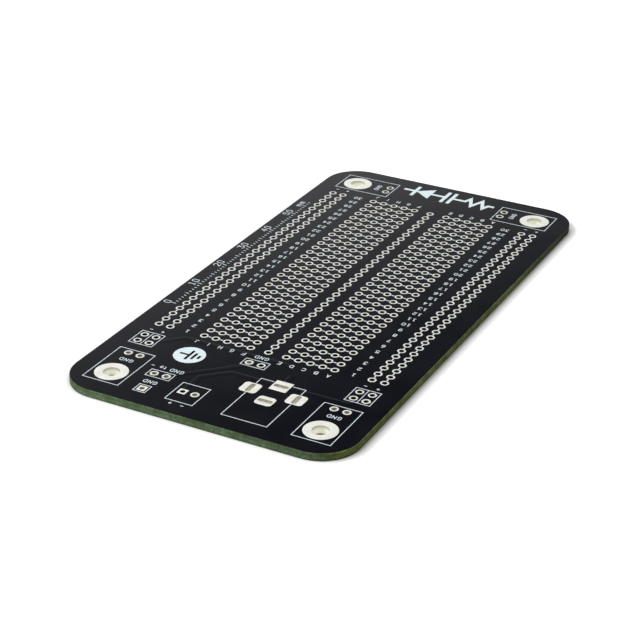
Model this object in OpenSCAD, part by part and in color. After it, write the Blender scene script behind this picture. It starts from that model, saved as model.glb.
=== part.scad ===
// Prototype board: a drilled laminate with plated holes on a 0.1 inch grid.
// Z = 0 is the underside, the origin is the middle of the board,
// +X runs along the hole rows and +Y points to the rear long edge.

/* [Board] */
// Length of the board along the hole rows
board_l = 116.84; // [115.6:0.01:130]
// Width of the board across the hole rows
board_w = 58.42; // [57.6:0.01:70]
// Thickness over both coats of mask
board_t = 1.6; // [0.8:0.1:2.4]
// Radius of the four corners
corner_r = 7.62; // [2:0.01:12]
// Thickness of the mask and of the lands on each face
coat_t = 0.06; // [0.05:0.005:0.1]
// Thickness of the copper foil that runs under the mask
foil_t = 0.035; // [0.018:0.001:0.045]

/* [Hole grid] */
// Pitch of the holes, one tenth of an inch
pitch = 2.54; // [2.5:0.01:2.6]
// Number of hole columns
columns = 30; // [10:1:30]
// Holes that each column ties together on each side of the centre bus
strip_holes = 5; // [3:1:5]
// Place of the first column, from the middle of the board
first_column_x = -30.48; // [-31:0.01:-29.5]
// Place of the strip rows next to the centre bus
inner_row_y = 3.81; // [3.4:0.01:4.4]
// Place of the inner supply rails
inner_rail_y = 21.59; // [20.8:0.01:22]

/* [Plated holes] */
// Diameter of a finished hole for a wire or a pin header
hole_d = 1.0; // [0.8:0.05:1.2]
// Diameter of its land
land_d = 1.7; // [1.5:0.05:1.9]
// Thickness of the plating on the wall of a hole
plating_t = 0.06; // [0.03:0.005:0.1]
// Gap between a land and the mask around it
mask_gap = 0.05; // [0.03:0.01:0.1]
// Width of the foil that ties the holes of a strip or rail
tie_w = 0.6; // [0.4:0.05:1]
// Width of the supply runs on the top face
feed_w = 0.92; // [0.6:0.02:1.2]

/* [Corner blocks] */
// Diameter of a finished mounting hole
mount_hole_d = 3.2; // [2.7:0.1:3.6]
// Diameter of its land
mount_land_d = 6.4; // [5.5:0.1:7]
// Distance of the mounting holes from the edges
mount_inset = 7.62; // [7:0.01:8]
// Distance from a mounting hole to the two ground holes beside it
ground_offset = 7.62; // [7:0.01:8]

/* [Supply footprints] */
// Place of the terminal's positive hole across the board
terminal_y = 6.35; // [5.5:0.01:7]
// Place of the ground test hole across the board
test_y = 13.335; // [12.5:0.005:14]
// Distance of the link header from the line of the left mounting holes
link_dx = 3.22; // [2.8:0.01:3.6]
// Place of the link header across the board
link_y = 13.12; // [12.6:0.01:13.8]
// Place where the front supply run turns to pass the jack
run_bend_y = 2.28; // [1.5:0.01:3]
// Reach of the slanted stretch of the rear supply run
run_slant = 3.06; // [2:0.01:4]

/* [Barrel jack footprint] */
// Distance of the pin slot from the line of the left mounting holes
jack_dx = 10.16; // [10:0.01:10.6]
// Place of the pin slot across the board
jack_y = -8.28; // [-8.6:0.01:-8]
// Width of a slot
slot_w = 1.0; // [0.8:0.05:1.4]
// Length of a slot
slot_l = 3.0; // [2.5:0.1:3.2]
// Side of the three wide lands
jack_land = 3.5; // [3.4:0.1:3.8]
// Width of the narrow land under the sleeve contact
jack_sleeve_land = 3.0; // [2.6:0.1:3.2]
// Corner radius of the rounded lands
jack_land_r = 0.75; // [0.3:0.05:1]
// Distance from the pin slot to the sleeve slot
jack_pin_to_sleeve = 6.0; // [5.8:0.1:6.2]
// Distance from the pin slot to the tab slots, along the board
jack_pin_to_tab = 3.0; // [2.8:0.1:3.2]
// Distance of each tab slot from the line of the pin, across the board
jack_tab_offset = 4.7; // [4.5:0.1:4.9]

/* [Print] */
// Thickness of the printed ink
ink_t = 0.02; // [0.01:0.005:0.03]
// Width of a printed outline
line_w = 0.15; // [0.15:0.05:0.3]
// Width of the printed marks between tied holes
link_w = 0.25; // [0.2:0.05:0.4]
// Gap between the print and a land
ink_gap = 0.1; // [0.06:0.01:0.15]
// Distance from the middle of a header's hole to its outline
header_margin = 1.25; // [1.2:0.01:1.5]
// Distance from a mounting hole to the outline of its block
block_margin = 3.81; // [3.6:0.01:4]
// Length of the terminal's outline
terminal_frame_l = 6.5; // [6:0.1:7]
// Width of the terminal's outline
terminal_frame_w = 5.7; // [5:0.1:6]
// Reach of the terminal's outline past its middle, toward the left end
terminal_frame_shift = 0.35; // [0:0.05:0.4]
// Length of the jack's outline
jack_frame_l = 14.7; // [13:0.1:15]
// Width of the jack's outline
jack_frame_w = 9.2; // [8.8:0.1:9.6]
// Distance of that outline's far end from the pin slot
jack_frame_end = 0.9; // [0.8:0.1:1.2]
// Diameter of the earth badge
badge_d = 6.2; // [6:0.1:8]
// Distance of the badge from the line of the left mounting holes
badge_dx = 12.3; // [12:0.1:12.5]
// Place of the badge across the board
badge_y = 12.4; // [12:0.1:13]
// Distance of the circuit figure from the line of the right mounting holes
figure_dx = 2.6; // [2.2:0.1:3]
// Length of the circuit figure
figure_l = 22; // [20:0.1:23.5]
// Width across the circuit figure
figure_w = 6; // [4:0.1:6.5]
// Width of its strokes
figure_stroke = 0.8; // [0.5:0.1:1]

/* [Hidden] */
$fn = 48;
eps = 0.01;
core_t = board_t - 2 * coat_t;
top_z = board_t - coat_t;
land_r = land_d / 2;
drill_r = hole_d / 2 + plating_t;
mount_drill_r = mount_hole_d / 2 + plating_t;

// Columns and rows of the hole grid
column_x = [for (i = [0:columns - 1]) first_column_x + i * pitch];
last_x = column_x[columns - 1];
strip_y = [for (k = [0:strip_holes - 1]) inner_row_y + k * pitch];
rail_y = [inner_rail_y, inner_rail_y + pitch];
label_x = first_column_x - pitch;
jumper_x = [first_column_x - 3 * pitch, first_column_x - 2 * pitch];
bus_header_x = jumper_x[1];

// Mounting holes, and the footprints that keep their place beside the left pair
mount_x = board_l / 2 - mount_inset;
mount_y = board_w / 2 - mount_inset;
mounts = [for (sx = [-1, 1]) for (sy = [-1, 1]) [sx * mount_x, sy * mount_y]];
terminal = [-mount_x, terminal_y];
test_pad = [-mount_x - pitch, test_y];
link_header = [-mount_x + link_dx, link_y];
jack_pin = [-mount_x + jack_dx, jack_y];
jack_sleeve = jack_pin - [jack_pin_to_sleeve, 0];
jack_tabs = [for (s = [-1, 1]) jack_pin + [-jack_pin_to_tab, s * jack_tab_offset]];

// Ground holes of a corner block: along the board at the left, across it at the right
function ground_pair(sx, sy) = sx < 0
    ? [for (s = [-1, 1]) [-mount_x + ground_offset, sy * mount_y + s * pitch / 2]]
    : [for (s = [-1, 1]) [mount_x + s * pitch / 2, sy * (mount_y - ground_offset)]];

// Every land, by group
strip_pads = [for (x = column_x) for (y = strip_y) for (s = [-1, 1]) [x, s * y]];
rail_pads = [for (x = column_x) for (y = rail_y) for (s = [-1, 1]) [x, s * y]];
bus_pads = [for (x = column_x) [x, 0]];
jumper_pads = [for (x = jumper_x) for (y = rail_y) for (s = [-1, 1]) [x, s * y]];
header_pads = [for (s = [-1, 1]) each [[bus_header_x, s * pitch / 2], link_header + [0, s * pitch / 2]]];
ground_pads = [for (sx = [-1, 1]) for (sy = [-1, 1]) each ground_pair(sx, sy)];
terminal_negative = terminal - [0, pitch];
round_pads = concat(
    strip_pads, rail_pads, bus_pads, jumper_pads, header_pads, ground_pads, [terminal_negative]
);
square_pads = [test_pad, terminal];

// Supply runs on the top face, with slanted stretches at 45 degrees:
// from the terminal past the jack to the front rail jumper,
// from the jack to the rear rail jumper, and from the link header to the bus header
front_feed = [
    terminal,
    [jack_pin.x - (terminal.y - run_bend_y), terminal.y],
    [jack_pin.x, run_bend_y],
    [jack_pin.x, jumper_x[0] - jack_pin.x - rail_y[1]],
    [jumper_x[0], -rail_y[1]]
];
rear_feed = [
    jack_pin,
    [label_x - run_slant, jack_y],
    [label_x, jack_y + run_slant],
    [label_x, rail_y[0] - (label_x - jumper_x[0])],
    [jumper_x[0], rail_y[0]]
];
link_low = link_header - [0, pitch / 2];
ground_feed = [
    link_low,
    [link_low.x + link_low.y - pitch / 2, pitch / 2],
    [bus_header_x, pitch / 2]
];

function column_name(i) = str("column_", i < 9 ? "0" : "", i + 1);

// Unit direction of a vector, and the same direction turned a quarter to the left
function unit(v) = v / norm(v);
function left_of(v) = [-v.y, v.x];

// Offset from a path's point to the edge of a run that is two units wide
function mitre(path, k) =
    let (
        last = len(path) - 1,
        a = unit(path[max(k, 1)] - path[max(k, 1) - 1]),
        b = unit(path[min(k, last - 1) + 1] - path[min(k, last - 1)]),
        m = unit(left_of(a) + left_of(b))
    )
    m / (m * left_of(a));

// Flat run of one width along a path
module run(path, w) {
    last = len(path) - 1;
    polygon(concat(
        [for (k = [0:last]) path[k] + mitre(path, k) * w / 2],
        [for (k = [last:-1:0]) path[k] - mitre(path, k) * w / 2]
    ));
}

module rounded_rect(size, r) {
    square([size.x - 2 * r, size.y], center = true);
    square([size.x, size.y - 2 * r], center = true);
    for (sx = [-1, 1]) for (sy = [-1, 1])
        translate([sx * (size.x / 2 - r), sy * (size.y / 2 - r)]) circle(r);
}

module slot(size) {
    long = max(size.x, size.y);
    short = min(size.x, size.y);
    rotate(size.y > size.x ? 90 : 0) {
        square([long - short, short], center = true);
        for (s = [-1, 1]) translate([s * (long - short) / 2, 0]) circle(short / 2);
    }
}

// The jack's four slots
module jack_slots(grow) {
    for (p = [jack_pin, jack_sleeve]) translate(p) slot([slot_w + 2 * grow, slot_l + 2 * grow]);
    for (p = jack_tabs) translate(p) slot([slot_l + 2 * grow, slot_w + 2 * grow]);
}

// The jack's four lands
module jack_lands(grow) {
    wide = jack_land + 2 * grow;
    translate(jack_pin) square([wide, wide], center = true);
    translate(jack_sleeve) rounded_rect([jack_sleeve_land + 2 * grow, wide], jack_land_r + grow);
    for (p = jack_tabs) translate(p) rounded_rect([wide, wide], jack_land_r + grow);
}

// Every land of the board, grown to make an opening round it
module all_lands(grow) {
    for (p = round_pads) translate(p) circle(land_r + grow);
    for (p = square_pads) translate(p) square(land_d + 2 * grow, center = true);
    for (p = mounts) translate(p) circle(mount_land_d / 2 + grow);
    jack_lands(grow);
}

module board_outline() {
    rounded_rect([board_l, board_w], corner_r);
}

module substrate() {
    color("#52603f") translate([0, 0, coat_t]) linear_extrude(core_t) difference() {
        board_outline();
        for (p = concat(round_pads, square_pads)) translate(p) circle(drill_r);
        for (p = mounts) translate(p) circle(mount_drill_r);
        jack_slots(plating_t);
    }
}

module mask_sheet() {
    linear_extrude(coat_t) difference() {
        board_outline();
        all_lands(mask_gap);
    }
}

// The top coat, hollowed underneath over the supply runs
module mask_top() {
    color("#17181c") difference() {
        translate([0, 0, top_z]) mask_sheet();
        translate([0, 0, top_z - eps]) linear_extrude(foil_t + eps) {
            run(front_feed, feed_w);
            run(rear_feed, feed_w);
            run(ground_feed, feed_w);
        }
    }
}

// The bottom coat, hollowed on top over the ties of the strips, rails and bus
module mask_bottom() {
    color("#17181c") difference() {
        mask_sheet();
        translate([0, 0, coat_t - foil_t]) linear_extrude(foil_t + eps) all_ties();
    }
}

module strip_ties(x) {
    for (s = [-1, 1]) run([[x, s * strip_y[0]], [x, s * strip_y[strip_holes - 1]]], tie_w);
}

module rail_tie(y) {
    run([[jumper_x[1], y], [last_x, y]], tie_w);
}

module bus_tie() {
    run([[bus_header_x, -pitch / 2], [bus_header_x + pitch / 2, 0], [last_x, 0]], tie_w);
}

module all_ties() {
    for (x = column_x) strip_ties(x);
    for (y = rail_y) for (s = [-1, 1]) rail_tie(s * y);
    bus_tie();
}

// Foil on the underside of the laminate, and on its top face
module bottom_foil() {
    translate([0, 0, coat_t - foil_t]) linear_extrude(foil_t) children();
}

module top_foil() {
    translate([0, 0, top_z]) linear_extrude(foil_t) children();
}

// Stock of a plated hole before it is bored: a sleeve with a land on each face
module sleeve_stock(r) {
    translate([0, 0, coat_t / 2]) cylinder(r = r, h = board_t - coat_t);
}

module round_stock(p, r, sleeve_r) {
    translate(p) {
        sleeve_stock(sleeve_r);
        for (z = [0, top_z]) translate([0, 0, z]) cylinder(r = r, h = coat_t);
    }
}

module square_stock(p) {
    translate(p) {
        sleeve_stock(drill_r);
        for (z = [0, top_z]) translate([-land_r, -land_r, z]) cube([land_d, land_d, coat_t]);
    }
}

module bore(p, d) {
    translate([p.x, p.y, -1]) cylinder(d = d, h = board_t + 2);
}

// Plated holes, with any foil that joins them
module plated(pads) {
    color("#e4e1d6") difference() {
        union() {
            for (p = pads) round_stock(p, land_r, drill_r);
            children();
        }
        for (p = pads) bore(p, hole_d);
    }
}

// One column of the grid: a tied strip on each side of the centre bus
module column(i) {
    x = column_x[i];
    plated([for (y = strip_y) for (s = [-1, 1]) [x, s * y]]) bottom_foil() strip_ties(x);
}

// A supply rail, tied to its hole in the jumper block
module rail(y) {
    plated([for (x = concat([jumper_x[1]], column_x)) [x, y]]) bottom_foil() rail_tie(y);
}

module centre_bus() {
    plated(concat([[bus_header_x, -pitch / 2]], bus_pads)) bottom_foil() bus_tie();
}

// Stock of a slotted land, whose outline is the child, and the slot through it
module slotted_stock(p, size) {
    translate(p) {
        for (z = [0, top_z]) translate([0, 0, z]) linear_extrude(coat_t) children();
        translate([0, 0, coat_t / 2]) linear_extrude(board_t - coat_t)
            slot([size.x + 2 * plating_t, size.y + 2 * plating_t]);
    }
}

module slot_bore(p, size) {
    translate([p.x, p.y, -1]) linear_extrude(board_t + 2) slot(size);
}

// Terminal, jack pin and both rail jumpers on the positive side, with the runs between them
module positive_feed() {
    ends = [[jumper_x[0], -rail_y[1]], [jumper_x[0], rail_y[0]]];
    color("#e4e1d6") difference() {
        union() {
            for (p = ends) round_stock(p, land_r, drill_r);
            square_stock(terminal);
            slotted_stock(jack_pin, [slot_w, slot_l]) square(jack_land, center = true);
            top_foil() run(front_feed, feed_w);
            top_foil() run(rear_feed, feed_w);
        }
        for (p = concat(ends, [terminal])) bore(p, hole_d);
        slot_bore(jack_pin, [slot_w, slot_l]);
    }
}

module ground_feed_run() {
    plated([link_low, [bus_header_x, pitch / 2]]) top_foil() run(ground_feed, feed_w);
}

module ground_test_pad() {
    color("#e4e1d6") difference() {
        square_stock(test_pad);
        bore(test_pad, hole_d);
    }
}

module jack_sleeve_pad() {
    color("#e4e1d6") difference() {
        slotted_stock(jack_sleeve, [slot_w, slot_l])
            rounded_rect([jack_sleeve_land, jack_land], jack_land_r);
        slot_bore(jack_sleeve, [slot_w, slot_l]);
    }
}

module jack_tab_pad(p) {
    color("#e4e1d6") difference() {
        slotted_stock(p, [slot_l, slot_w]) rounded_rect([jack_land, jack_land], jack_land_r);
        slot_bore(p, [slot_l, slot_w]);
    }
}

module mount_land(sx, sy) {
    p = [sx * mount_x, sy * mount_y];
    color("#e8e4d8") difference() {
        round_stock(p, mount_land_d / 2, mount_drill_r);
        bore(p, mount_hole_d);
    }
}

// Print: a rectangular outline with its lines centred on two opposite corners
module frame(a, b) {
    middle = (a + b) / 2;
    size = [abs(b.x - a.x), abs(b.y - a.y)];
    translate(middle) difference() {
        square([size.x + line_w, size.y + line_w], center = true);
        square([size.x - line_w, size.y - line_w], center = true);
    }
}

// Print: the outline of a header, from its first hole to its last
module header_frame(a, b) {
    frame(a - [header_margin, header_margin], b + [header_margin, header_margin]);
}

module corner_frames(s) {
    reach = ground_offset + pitch / 2;
    frame([-mount_x - block_margin, s * (mount_y - block_margin)],
          [-mount_x + reach, s * (mount_y + block_margin)]);
    frame([mount_x - block_margin, s * (mount_y - reach)],
          [mount_x + block_margin, s * (mount_y + block_margin)]);
}

module jumper_frames(s) {
    low = min(s * rail_y[0], s * rail_y[1]);
    header_frame([jumper_x[0], low], [jumper_x[1], low + pitch]);
    translate([(jumper_x[0] + jumper_x[1]) / 2, low + pitch / 2])
        square([pitch + 2 * header_margin, line_w], center = true);
}

module footprint_frames() {
    half_pitch = [0, pitch / 2];
    bus_header = [bus_header_x, 0];
    terminal_middle = terminal - half_pitch - [terminal_frame_shift, 0];
    for (s = [-1, 1]) {
        corner_frames(s);
        jumper_frames(s);
    }
    header_frame(bus_header - half_pitch, bus_header + half_pitch);
    header_frame(link_header - half_pitch, link_header + half_pitch);
    header_frame(test_pad, test_pad);
    frame(terminal_middle - [terminal_frame_l, terminal_frame_w] / 2,
          terminal_middle + [terminal_frame_l, terminal_frame_w] / 2);
    difference() {
        frame(jack_pin + [jack_frame_end - jack_frame_l, -jack_frame_w / 2],
              jack_pin + [jack_frame_end, jack_frame_w / 2]);
        jack_lands(2 * ink_gap);
    }
}

// Print: the marks that show which holes are tied
module link_marks() {
    l = pitch - land_d - 2 * ink_gap;
    for (x = column_x) for (k = [0:strip_holes - 2]) for (s = [-1, 1])
        translate([x, s * (strip_y[k] + pitch / 2)]) square([link_w, l], center = true);
    for (i = [0:columns - 2]) for (y = [-rail_y[1], -rail_y[0], 0, rail_y[0], rail_y[1]])
        translate([column_x[i] + pitch / 2, y]) square([l, link_w], center = true);
}

// Print: an earth sign left dark in a round badge
module earth_badge() {
    stroke = badge_d / 11;
    translate([-mount_x + badge_dx, badge_y]) difference() {
        circle(badge_d / 2);
        translate([-stroke / 2, 0]) square([stroke, badge_d / 3]);
        for (k = [0:2]) translate([0, -1.8 * k * stroke])
            square([badge_d * (0.6 - 0.2 * k), stroke], center = true);
    }
}

// Print: a plain circuit figure in one line: a resistor, a capacitor and a diode
module circuit_figure() {
    u = figure_l / 22;
    half = figure_w / 2;
    zig = 0.6 * half;
    translate([mount_x + figure_dx, 0]) {
        run([[0, -11 * u], [0, -9.6 * u], [-zig, -8.9 * u], [zig, -7.5 * u], [-zig, -6.1 * u],
             [zig, -4.7 * u], [0, -4 * u], [0, -1.2 * u]], figure_stroke);
        for (s = [-1, 1]) translate([0, s * 0.8 * u]) square([2 * half, figure_stroke], center = true);
        translate([0, 2.7 * u]) square([figure_stroke, 3 * u], center = true);
        polygon([[-0.9 * half, 4.2 * u], [0.9 * half, 4.2 * u], [0, 8 * u]]);
        translate([0, 8.2 * u]) square([1.8 * half, figure_stroke], center = true);
        translate([0, 9.8 * u]) square([figure_stroke, 2.4 * u], center = true);
    }
}

module legend_print() {
    color("#e9eef4") translate([0, 0, board_t]) linear_extrude(ink_t) {
        footprint_frames();
        link_marks();
        earth_badge();
        circuit_figure();
    }
}

substrate();
mask_top();
mask_bottom();
legend_print();
rail(rail_y[1]);  // rail_rear_negative
rail(rail_y[0]);  // rail_rear_positive
rail(-rail_y[0]);  // rail_front_negative
rail(-rail_y[1]);  // rail_front_positive
centre_bus();
positive_feed();
ground_feed_run();
plated([link_header + [0, pitch / 2]]);  // link_header_pad
plated([terminal_negative]);  // terminal_negative_pad
ground_test_pad();
jack_sleeve_pad();
jack_tab_pad(jack_tabs[0]);  // jack_tab_pad_front
jack_tab_pad(jack_tabs[1]);  // jack_tab_pad_rear
plated([[jumper_x[0], -rail_y[0]]]);  // jumper_pad_front
plated([[jumper_x[0], rail_y[1]]]);  // jumper_pad_rear
mount_land(-1, -1);  // mount_land_left_front
mount_land(-1, 1);  // mount_land_left_rear
mount_land(1, -1);  // mount_land_right_front
mount_land(1, 1);  // mount_land_right_rear
plated(ground_pair(-1, -1));  // ground_pads_left_front
plated(ground_pair(-1, 1));  // ground_pads_left_rear
plated(ground_pair(1, -1));  // ground_pads_right_front
plated(ground_pair(1, 1));  // ground_pads_right_rear
for (i = [0:columns - 1])
    column(i);
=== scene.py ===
"""A bare prototype board: black mask over glass-epoxy laminate, levelled-solder lands
round 481 plated holes and slots, and white printed legends."""

import math
import random

import bmesh
import bpy
from mathutils import Matrix, Vector
from mathutils.geometry import delaunay_2d_cdt


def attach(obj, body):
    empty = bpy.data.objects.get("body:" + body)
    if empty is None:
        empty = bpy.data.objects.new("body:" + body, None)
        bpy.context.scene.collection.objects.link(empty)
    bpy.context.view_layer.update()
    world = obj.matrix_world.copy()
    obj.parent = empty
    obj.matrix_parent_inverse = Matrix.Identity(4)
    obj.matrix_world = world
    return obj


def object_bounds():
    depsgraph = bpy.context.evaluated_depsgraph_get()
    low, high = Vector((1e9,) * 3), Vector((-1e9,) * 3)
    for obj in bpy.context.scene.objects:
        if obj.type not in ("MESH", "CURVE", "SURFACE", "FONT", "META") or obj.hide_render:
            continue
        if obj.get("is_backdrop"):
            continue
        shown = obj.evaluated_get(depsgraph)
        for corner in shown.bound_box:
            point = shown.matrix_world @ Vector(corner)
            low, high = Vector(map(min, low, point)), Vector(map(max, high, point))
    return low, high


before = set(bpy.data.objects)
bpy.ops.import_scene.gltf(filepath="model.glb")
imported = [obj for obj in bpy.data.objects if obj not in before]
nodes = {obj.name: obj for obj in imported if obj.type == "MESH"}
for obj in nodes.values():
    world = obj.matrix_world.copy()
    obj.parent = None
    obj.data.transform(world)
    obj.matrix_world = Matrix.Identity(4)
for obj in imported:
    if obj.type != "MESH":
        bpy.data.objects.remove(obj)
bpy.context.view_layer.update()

# The photograph's camera: a short telephoto lens in front of the board's left end,
# about a third of a metre away, looking down by 27 degrees with the horizon level.
MM = 0.001
scene = bpy.context.scene
scene.view_settings.view_transform = "Standard"
camera_place = Vector((-281.0, -138.6, 156.3)) * MM
camera_right = Vector((0.46147, -0.88703, 0.01496)).normalized()
camera_back = -Vector((0.7915, 0.40404, -0.45857)).normalized()
camera_up = camera_back.cross(camera_right)
camera_data = bpy.data.cameras.new("camera")
camera_data.sensor_width = 36
camera_data.lens = 97.63
camera_data.clip_start = 0.02
camera_data.clip_end = 20
camera = bpy.data.objects.new("camera", camera_data)
camera.matrix_world = Matrix.Translation(camera_place) @ Matrix(
    (camera_right, camera_up, camera_back)
).transposed().to_4x4()
scene.collection.objects.link(camera)
scene.camera = camera


# The studio: a bright ceiling, a wall that is bright low down and dark above, and a soft box
# beyond the rear edge. The mask mirrors the room, so it is black near and grey far away.
def add_node(tree, kind, inputs=None, **settings):
    """A node with its settings, whose inputs are values or links to sockets."""
    node = tree.nodes.new(kind)
    for key, value in settings.items():
        setattr(node, key, value)
    for key, value in (inputs or {}).items():
        if isinstance(value, bpy.types.NodeSocket):
            tree.links.new(value, node.inputs[key])
        else:
            node.inputs[key].default_value = value
    return node


def lay_stops(marks, stops):
    """Colours or grey levels at places along a colour ramp."""
    marks[0].position, marks[1].position = stops[0][0], stops[-1][0]
    for place, _ in stops[1:-1]:
        marks.new(place)
    for mark, (_, shade) in zip(marks, stops):
        mark.color = shade if isinstance(shade, tuple) else (shade, shade, shade, 1)


sky_stops = [
    (0.0, 0.8), (0.27, 1.2), (0.3, 1.25), (0.325, 0.95), (0.345, 0.38), (0.365, 0.12),
    (0.385, 0.03), (0.405, 0.02), (0.62, 0.03), (0.77, 0.65), (1.0, 1.25),
]
leaning_axis = (0.114, -0.4, 0.97)
reflector_side = (-0.84, -0.43, 0.33)
reflector_spread = (0.4, 0.9)
reflector_level = 0.6
world = bpy.data.worlds.new("studio")
scene.world = world
world.use_nodes = True
sky = world.node_tree
sky.nodes.clear()
direction = add_node(sky, "ShaderNodeTexCoord")
# Height in the room, measured along a slightly leaning axis
height = add_node(
    sky,
    "ShaderNodeVectorMath",
    {0: direction.outputs["Generated"], 1: leaning_axis},
    operation="DOT_PRODUCT",
)
sky_levels = add_node(sky, "ShaderNodeValToRGB", {0: height.outputs["Value"]})
lay_stops(sky_levels.color_ramp.elements, sky_stops)
# A reflector behind the camera, which lights the walls of the holes that face it
towards_camera = add_node(
    sky,
    "ShaderNodeVectorMath",
    {0: direction.outputs["Generated"], 1: reflector_side},
    operation="DOT_PRODUCT",
)
reflector = add_node(
    sky,
    "ShaderNodeMapRange",
    {
        0: towards_camera.outputs["Value"],
        1: reflector_spread[0],
        2: reflector_spread[1],
        3: 0.0,
        4: reflector_level,
    },
    interpolation_type="SMOOTHSTEP",
)
room = add_node(
    sky,
    "ShaderNodeMix",
    {0: 1.0, 6: sky_levels.outputs[0], 7: reflector.outputs[0]},
    data_type="RGBA",
    blend_type="ADD",
)
room_light = add_node(sky, "ShaderNodeBackground", {"Color": room.outputs[2], "Strength": 1.0})
add_node(sky, "ShaderNodeOutputWorld", {"Surface": room_light.outputs[0]})

softbox_place = Vector((-0.45, 0.85, 0.95))
softbox_data = bpy.data.lights.new("key_softbox", "AREA")
softbox_data.shape = "SQUARE"
softbox_data.size = 0.6
softbox_data.energy = 10.5
softbox = bpy.data.objects.new("key_softbox", softbox_data)
softbox.location = softbox_place
softbox.rotation_euler = softbox_place.to_track_quat("Z", "Y").to_euler()
softbox.visible_camera = False
scene.collection.objects.link(softbox)


# The table is a sheet of white laminate, just under the solder of the board's underside. To
# the camera alone it carries a painted contact shadow, dark under the board and up to a
# millimetre beside it. The light that it throws back is that of a pale sheet.
def linear(hex_colour):
    """The linear colour that an sRGB hex value stands for."""
    parts = [int(hex_colour[i : i + 2], 16) / 255 for i in (1, 3, 5)]
    steps = [p / 12.92 if p <= 0.04045 else ((p + 0.055) / 1.055) ** 2.4 for p in parts]
    return (*steps, 1.0)


def new_material(name):
    """An empty material and its tree."""
    material = bpy.data.materials.new(name)
    material.use_nodes = True
    material.node_tree.nodes.clear()
    return material, material.node_tree


def new_piece(name, mesh):
    """An object at the origin for a finished mesh."""
    piece = bpy.data.objects.new(name, mesh)
    scene.collection.objects.link(piece)
    return piece


table_drop = 0.02 * MM
table_reach = 4.0
table_corners = ((-1, -1), (1, -1), (1, 1), (-1, 1))
# Distances are taken from a box inside the board, so that their level lines have round
# corners. The board's long sides lie 7.6 mm from that box, and its ends 8.5 mm.
inner_box = (49.9 * MM, 21.6 * MM, 0.0)
painted_shadow_edge = (7.2 * MM, 8.8 * MM)
glow_edge = (8.6 * MM, 11.0 * MM)
glow_level = 0.22
table_mesh = bpy.data.meshes.new("table")
table_mesh.from_pydata(
    [(x * table_reach, y * table_reach, -table_drop) for x, y in table_corners],
    [],
    [(0, 1, 2, 3)],
)
table_sheet, tree = new_material("white_laminate_sheet")
spot = add_node(tree, "ShaderNodeTexCoord")
folded = add_node(tree, "ShaderNodeVectorMath", {0: spot.outputs["Object"]}, operation="ABSOLUTE")
beyond = add_node(
    tree, "ShaderNodeVectorMath", {0: folded.outputs[0], 1: inner_box}, operation="SUBTRACT"
)
outside = add_node(
    tree, "ShaderNodeVectorMath", {0: beyond.outputs[0], 1: (0.0, 0.0, 0.0)}, operation="MAXIMUM"
)
gap = add_node(tree, "ShaderNodeVectorMath", {0: outside.outputs[0]}, operation="LENGTH")
# The painted contact shadow, for the camera's own rays only
rays = add_node(tree, "ShaderNodeLightPath")
clear_of_painted_shadow = add_node(
    tree,
    "ShaderNodeMapRange",
    {0: gap.outputs["Value"], 1: painted_shadow_edge[0], 2: painted_shadow_edge[1]},
    interpolation_type="SMOOTHSTEP",
)
unseen = add_node(
    tree, "ShaderNodeMath", {0: 1.0, 1: rays.outputs["Is Camera Ray"]}, operation="SUBTRACT"
)
pale = add_node(
    tree, "ShaderNodeMath", {0: clear_of_painted_shadow.outputs[0], 1: unseen.outputs[0]}, operation="MAXIMUM"
)
# The sheet's colour with its painted shadow: dark under the board, pale clear of it
sheet_with_painted_shadow = add_node(
    tree,
    "ShaderNodeMix",
    {0: pale.outputs[0], 6: linear("#6a6a62"), 7: linear("#f4f4f4")},
    data_type="RGBA",
)
# A glow that lifts the sheet to white where it is seen or mirrored, clear of the board
camera_or_glossy = add_node(
    tree,
    "ShaderNodeMath",
    {0: rays.outputs["Is Camera Ray"], 1: rays.outputs["Is Glossy Ray"]},
    operation="MAXIMUM",
)
shown = add_node(
    tree,
    "ShaderNodeMath",
    {0: camera_or_glossy.outputs[0], 1: rays.outputs["Is Transmission Ray"]},
    operation="MAXIMUM",
)
clear = add_node(
    tree,
    "ShaderNodeMapRange",
    {0: gap.outputs["Value"], 1: glow_edge[0], 2: glow_edge[1]},
    interpolation_type="SMOOTHSTEP",
)
shown_glow = add_node(
    tree, "ShaderNodeMath", {0: shown.outputs[0], 1: glow_level}, operation="MULTIPLY"
)
glow = add_node(
    tree, "ShaderNodeMath", {0: shown_glow.outputs[0], 1: clear.outputs[0]}, operation="MULTIPLY"
)
surface = add_node(
    tree,
    "ShaderNodeBsdfPrincipled",
    {
        "Base Color": sheet_with_painted_shadow.outputs[2],
        "Roughness": 0.9,
        "Specular IOR Level": 0.0,
        "Emission Color": linear("#ffffff"),
        "Emission Strength": glow.outputs[0],
    },
)
add_node(tree, "ShaderNodeOutputMaterial", {"Surface": surface.outputs[0]})
table_mesh.materials.append(table_sheet)
table = new_piece("table", table_mesh)
table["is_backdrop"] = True

# The laminate: eight plies of woven glass cloth in epoxy, pressed to 1.5 mm. Its outline is
# cut with a router, which leaves a dull, speckled green-grey edge with torn fibre ends.
board_l = 116.84
board_w = 58.42
board_t = 1.6
corner_r = 7.62
ply_t = 0.185
patch_size = 2.381
fibre_w = 0.2778
band_gap = 2 * math.pi * ply_t
# Places between which painted shade darkens the long sides and the ends, and its darkest level
far_shade_stretch, far_shade_level = (14, 48), 0.22
front_shade_stretch, front_shade_level = (-20, 14), 0.74

glass_epoxy, tree = new_material("routed_glass_epoxy")
place = add_node(tree, "ShaderNodeTexCoord")
# Patches of dry and wetted fibre, about two millimetres long
patches = add_node(
    tree,
    "ShaderNodeTexNoise",
    {
        "Vector": place.outputs["Object"],
        "Scale": 1 / (patch_size * MM),
        "Detail": 3.0,
        "Roughness": 0.6,
    },
)
# Fibre ends, a quarter of a millimetre wide so that they show
fibres = add_node(
    tree,
    "ShaderNodeTexNoise",
    {
        "Vector": place.outputs["Object"],
        "Scale": 1 / (fibre_w * MM),
        "Detail": 2.0,
        "Roughness": 0.7,
    },
)
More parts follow.
